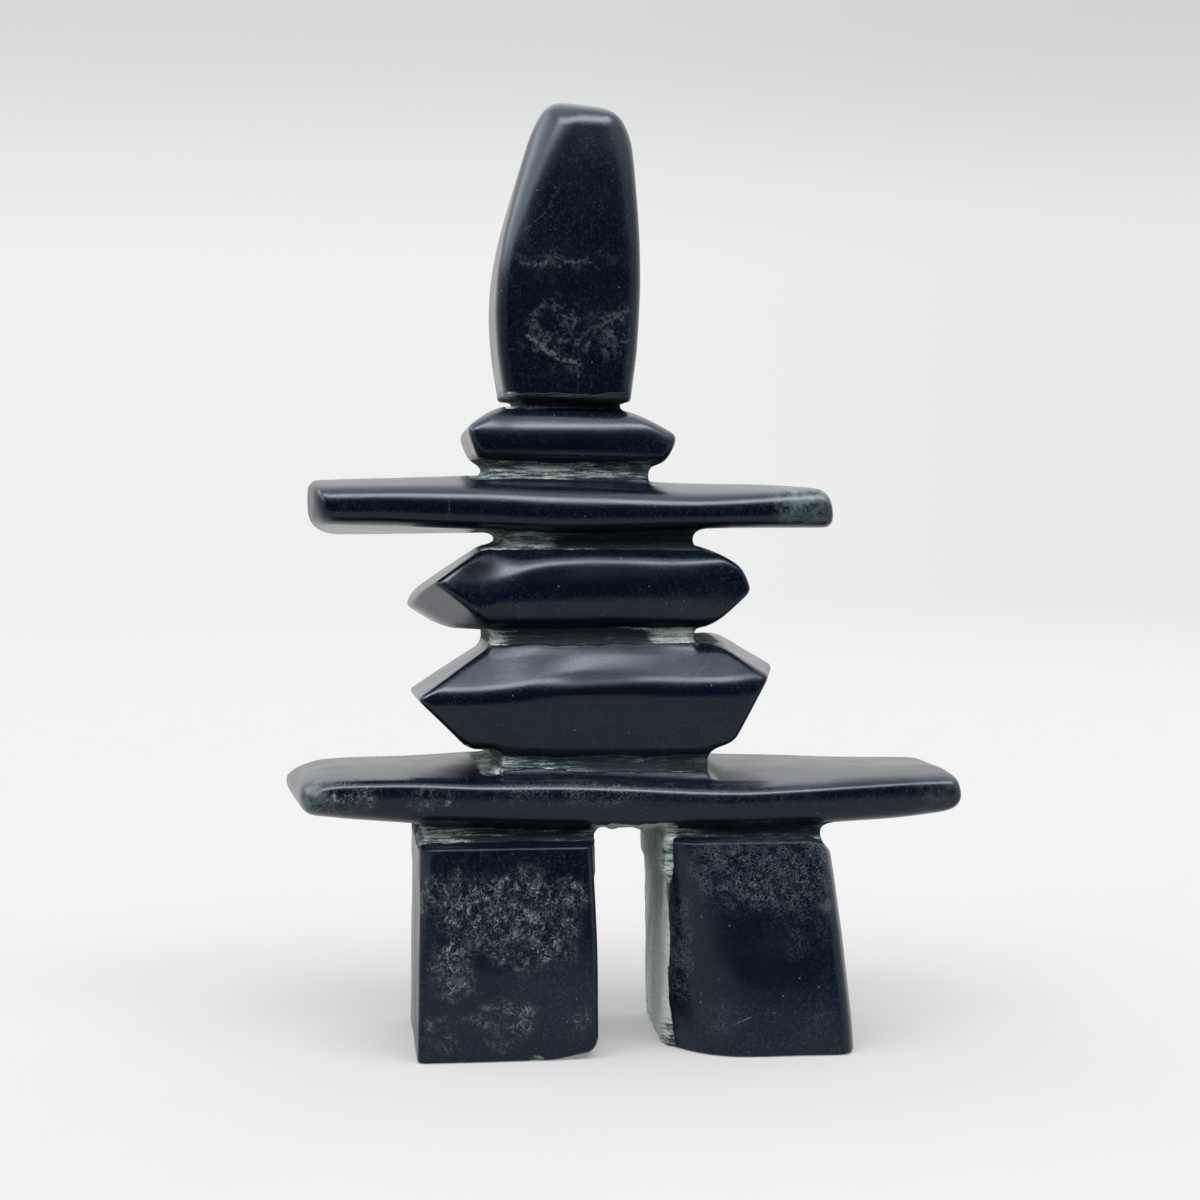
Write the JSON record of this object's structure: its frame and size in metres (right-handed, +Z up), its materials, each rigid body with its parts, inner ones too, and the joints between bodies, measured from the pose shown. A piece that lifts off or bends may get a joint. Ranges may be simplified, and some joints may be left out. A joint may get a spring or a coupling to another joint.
{
  "type": "stone cairn",
  "caption": "Carved stone cairn in the standing-figure form, with slab arms and two legs, that rests upright on its two flat feet as an ornament.",
  "frame": {"origin": "middle of the figure's plan, on the surface the feet stand on", "axes": "+X to the viewer's right, -Y out of the front, +Z up along the figure's height"},
  "size_m": [0.1828, 0.0614, 0.2519],
  "materials": {
    "serpentine": "blue-black serpentine, satin polished on the stones, matt grey-green where the grooves were sawn and filed"
  },
  "bodies": {
    "root": {"carved_cairn": "serpentine"}
  },
  "joints": []
}
